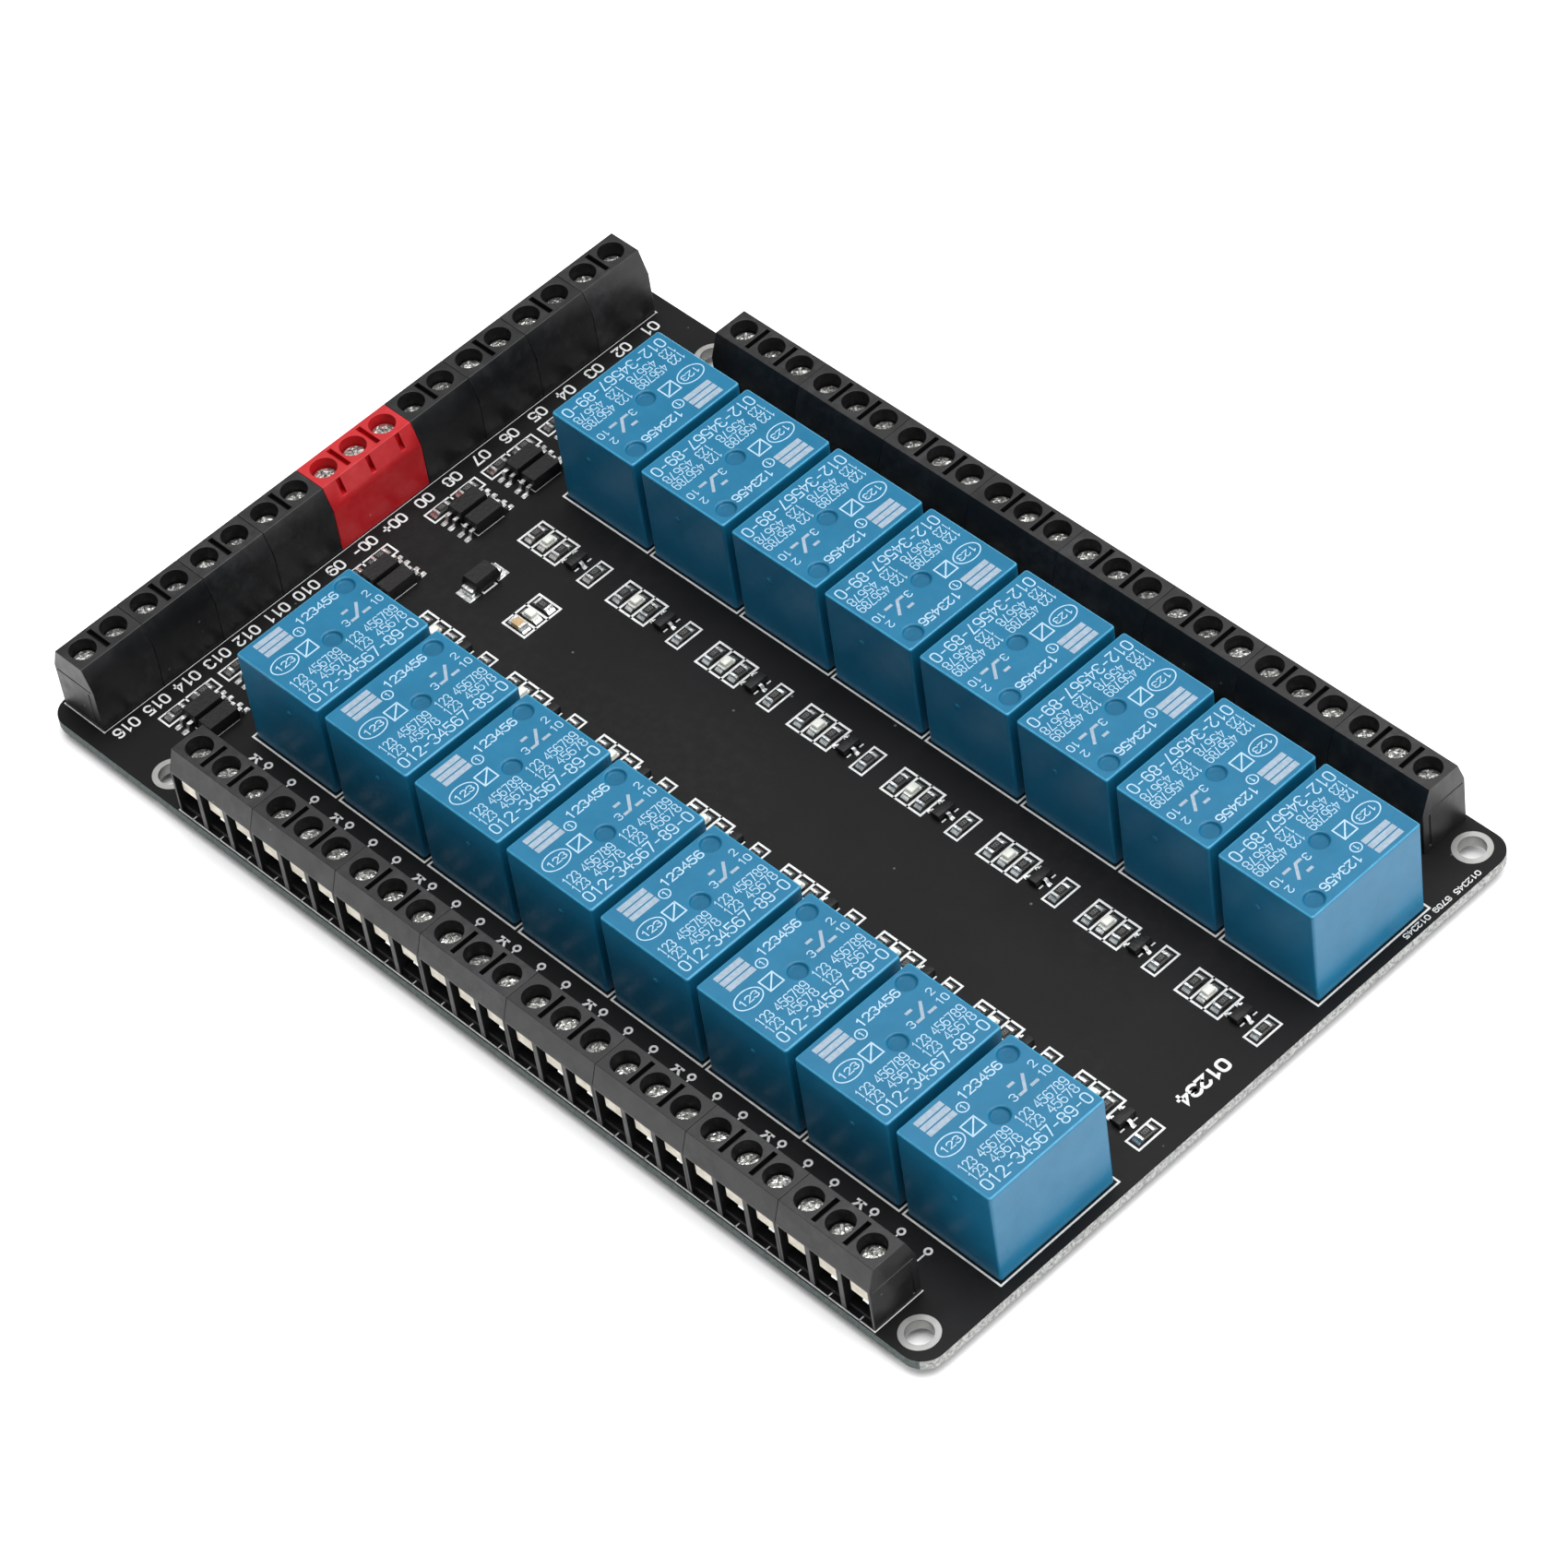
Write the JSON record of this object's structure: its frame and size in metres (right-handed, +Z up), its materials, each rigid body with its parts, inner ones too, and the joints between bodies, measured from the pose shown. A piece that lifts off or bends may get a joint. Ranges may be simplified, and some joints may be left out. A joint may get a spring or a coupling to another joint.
{
  "type": "relay board",
  "caption": "Black circuit board with blue relays in two rows, screw terminals along both long edges for switched loads, and an input and supply terminal row across one end.",
  "frame": {"origin": "under the middle of the board, level with the tips of the soldered pins", "axes": "+X runs along the relay rows, away from the input terminals; +Y runs across the board towards the terminals of channels 1 to 8; +Z is up, the side with the relays"},
  "size_m": [0.1554, 0.1014, 0.0185],
  "materials": {
    "board": "black solder mask, satin",
    "relay_cover": "moulded blue plastic, satin gloss",
    "relay_base": "dark moulded plastic",
    "housing_black": "moulded black plastic, satin",
    "housing_red": "moulded red plastic, satin",
    "screw_metal": "nickel-plated steel",
    "clamp_metal": "tinned plate",
    "coil_winding": "enamelled copper wire",
    "relay_iron": "plated iron",
    "contact_brass": "stamped brass",
    "edge_laminate": "bare glass-fibre laminate, rough",
    "silkscreen": "white ink",
    "solder": "tinned, satin",
    "chip_body": "black moulded package",
    "led_lens": "milky lens",
    "ceramic": "fired ceramic",
    "relay_print": "pale printed ink"
  },
  "bodies": {
    "board": {"circuit_board": "board", "relay_01_cover": "relay_cover", "relay_02_cover": "relay_cover", "relay_03_cover": "relay_cover", "relay_04_cover": "relay_cover", "relay_05_cover": "relay_cover", "relay_06_cover": "relay_cover", "relay_07_cover": "relay_cover", "relay_08_cover": "relay_cover", "relay_09_cover": "relay_cover", "relay_10_cover": "relay_cover", "relay_11_cover": "relay_cover", "relay_12_cover": "relay_cover", "relay_13_cover": "relay_cover", "relay_14_cover": "relay_cover", "relay_15_cover": "relay_cover", "relay_16_cover": "relay_cover", "output_terminal_01": "housing_black", "output_terminal_02": "housing_black", "output_terminal_03": "housing_black", "output_terminal_04": "housing_black", "output_terminal_05": "housing_black", "output_terminal_06": "housing_black", "output_terminal_07": "housing_black", "output_terminal_08": "housing_black", "output_terminal_09": "housing_black", "output_terminal_10": "housing_black", "output_terminal_11": "housing_black", "output_terminal_12": "housing_black", "output_terminal_13": "housing_black", "output_terminal_14": "housing_black", "output_terminal_15": "housing_black", "output_terminal_16": "housing_black", "input_terminal_01_02": "housing_black", "input_terminal_03_04": "housing_black", "input_terminal_05_06": "housing_black", "input_terminal_07_08": "housing_black", "input_terminal_09_10": "housing_black", "input_terminal_11_12": "housing_black", "input_terminal_13_14": "housing_black", "input_terminal_15_16": "housing_black", "supply_terminal": "housing_red", "relay_16_base": "relay_base", "relay_16_coil": "coil_winding", "relay_16_yoke": "relay_iron", "relay_16_contact_open": "contact_brass", "relay_16_contact_closed": "contact_brass"},
    "relay_16_armature": {"relay_16_armature": "relay_iron"},
    "output_16_clamp_open": {"output_16_clamp_open": "clamp_metal"},
    "output_16_screw_open": {"output_16_screw_open": "screw_metal"},
    "output_16_clamp_common": {"output_16_clamp_common": "clamp_metal"},
    "output_16_screw_common": {"output_16_screw_common": "screw_metal"},
    "output_16_clamp_closed": {"output_16_clamp_closed": "clamp_metal"},
    "output_16_screw_closed": {"output_16_screw_closed": "screw_metal"},
    "supply_clamp_minus": {"supply_clamp_minus": "clamp_metal"},
    "supply_screw_minus": {"supply_screw_minus": "screw_metal"},
    "supply_clamp_plus": {"supply_clamp_plus": "clamp_metal"},
    "supply_screw_plus": {"supply_screw_plus": "screw_metal"},
    "supply_clamp_common": {"supply_clamp_common": "clamp_metal"},
    "supply_screw_common": {"supply_screw_common": "screw_metal"}
  },
  "joints": [
    {"name": "output_16_clamp_open_slide", "type": "slide", "parent": "board", "child": "output_16_clamp_open", "axis": [0, 0, 1], "range_m": [-0.00225, 0]},
    {"name": "output_16_screw_open_turn", "type": "hinge", "parent": "output_16_clamp_open", "child": "output_16_screw_open", "pos_m": [0.06723, -0.04688, 0.011], "axis": [0, 0, 1], "range_deg": [-1801, 1]},
    {"name": "output_16_clamp_common_slide", "type": "slide", "parent": "board", "child": "output_16_clamp_common", "axis": [0, 0, 1], "range_m": [-0.00225, 0]},
    {"name": "output_16_screw_common_turn", "type": "hinge", "parent": "output_16_clamp_common", "child": "output_16_screw_common", "pos_m": [0.06215, -0.04688, 0.011], "axis": [0, 0, 1], "range_deg": [-1801, 1]},
    {"name": "output_16_clamp_closed_slide", "type": "slide", "parent": "board", "child": "output_16_clamp_closed", "axis": [0, 0, 1], "range_m": [-0.00225, 0]},
    {"name": "output_16_screw_closed_turn", "type": "hinge", "parent": "output_16_clamp_closed", "child": "output_16_screw_closed", "pos_m": [0.05707, -0.04688, 0.011], "axis": [0, 0, 1], "range_deg": [-1801, 1]},
    {"name": "supply_clamp_minus_slide", "type": "slide", "parent": "board", "child": "supply_clamp_minus", "axis": [0, 0, 1], "range_m": [-0.00225, 0]},
    {"name": "supply_screw_minus_turn", "type": "hinge", "parent": "supply_clamp_minus", "child": "supply_screw_minus", "pos_m": [-0.0735, -0.00504, 0.011], "axis": [0, 0, 1], "range_deg": [-1801, 1]},
    {"name": "supply_clamp_plus_slide", "type": "slide", "parent": "board", "child": "supply_clamp_plus", "axis": [0, 0, 1], "range_m": [-0.00225, 0]},
    {"name": "supply_screw_plus_turn", "type": "hinge", "parent": "supply_clamp_plus", "child": "supply_screw_plus", "pos_m": [-0.0735, 0.00004, 0.011], "axis": [0, 0, 1], "range_deg": [-1801, 1]},
    {"name": "supply_clamp_common_slide", "type": "slide", "parent": "board", "child": "supply_clamp_common", "axis": [0, 0, 1], "range_m": [-0.00225, 0]},
    {"name": "supply_screw_common_turn", "type": "hinge", "parent": "supply_clamp_common", "child": "supply_screw_common", "pos_m": [-0.0735, 0.00512, 0.011], "axis": [0, 0, 1], "range_deg": [-1801, 1]},
    {"name": "relay_16_armature_tilt", "type": "hinge", "parent": "board", "child": "relay_16_armature", "pos_m": [0.06824, -0.01905, 0.0149], "axis": [1, 0, 0], "range_deg": [0, 5], "stiffness_Nm_per_rad": 0.005, "springref_deg": -5.73}
  ],
  "couplings": [
    {"joint": "output_16_screw_open_turn", "follows": "output_16_clamp_open_slide", "rad_per_m": 13963},
    {"joint": "output_16_screw_common_turn", "follows": "output_16_clamp_common_slide", "rad_per_m": 13963},
    {"joint": "output_16_screw_closed_turn", "follows": "output_16_clamp_closed_slide", "rad_per_m": 13963},
    {"joint": "supply_screw_minus_turn", "follows": "supply_clamp_minus_slide", "rad_per_m": 13963},
    {"joint": "supply_screw_plus_turn", "follows": "supply_clamp_plus_slide", "rad_per_m": 13963},
    {"joint": "supply_screw_common_turn", "follows": "supply_clamp_common_slide", "rad_per_m": 13963}
  ]
}
